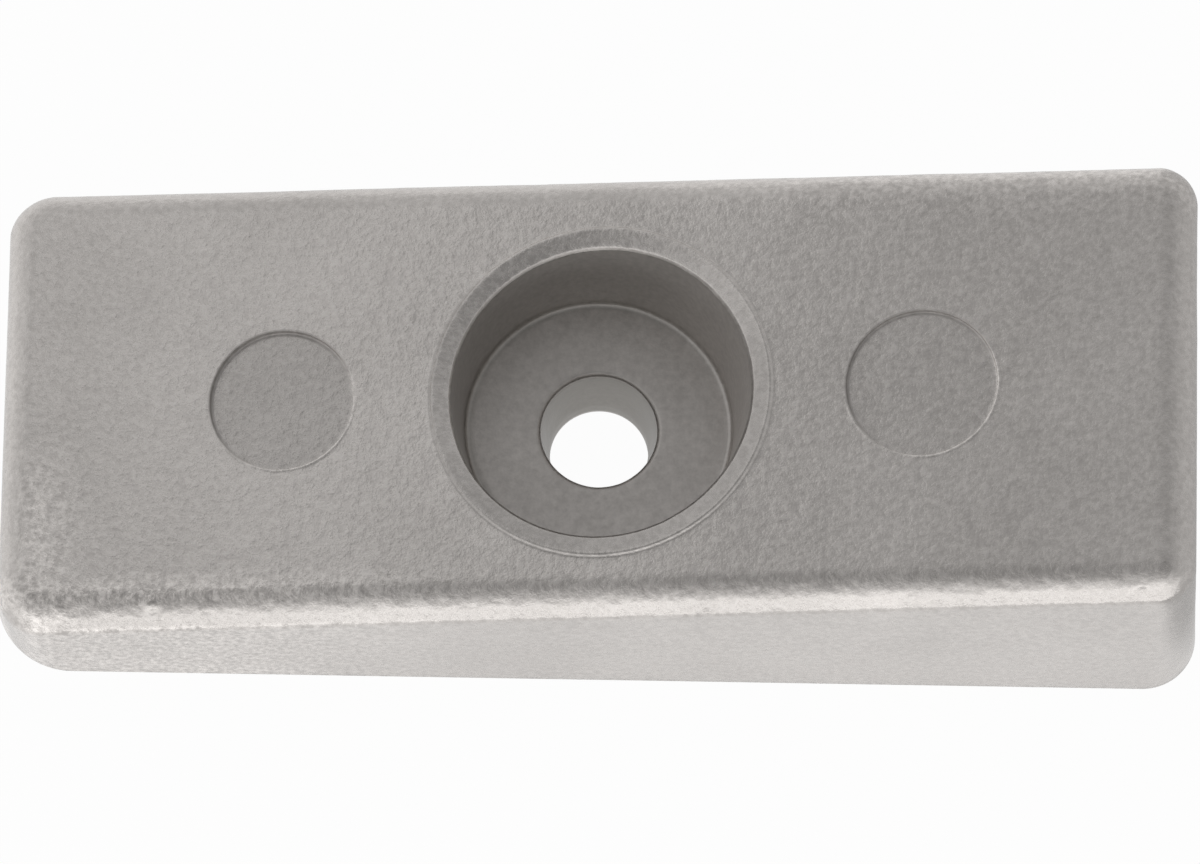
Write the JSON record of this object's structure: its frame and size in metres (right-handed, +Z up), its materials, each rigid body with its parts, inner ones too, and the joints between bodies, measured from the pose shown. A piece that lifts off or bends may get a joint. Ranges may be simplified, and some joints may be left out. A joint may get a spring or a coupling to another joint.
{
  "type": "sacrificial anode",
  "caption": "Wedge-shaped cast block anode with a flat base, a deep lipped pocket and a bolt hole through the pocket's floor.",
  "frame": {"origin": "on the flat base, at the bolt hole's axis", "axes": "+X along the length towards the thick end, +Y across the block, +Z up out of the base along the bolt hole"},
  "size_m": [0.085, 0.033, 0.0211],
  "materials": {
    "cast_metal": "as-cast zinc alloy, matt light grey with a fine grain and burnished edges"
  },
  "bodies": {
    "root": {"anode_block": "cast_metal"}
  },
  "joints": []
}
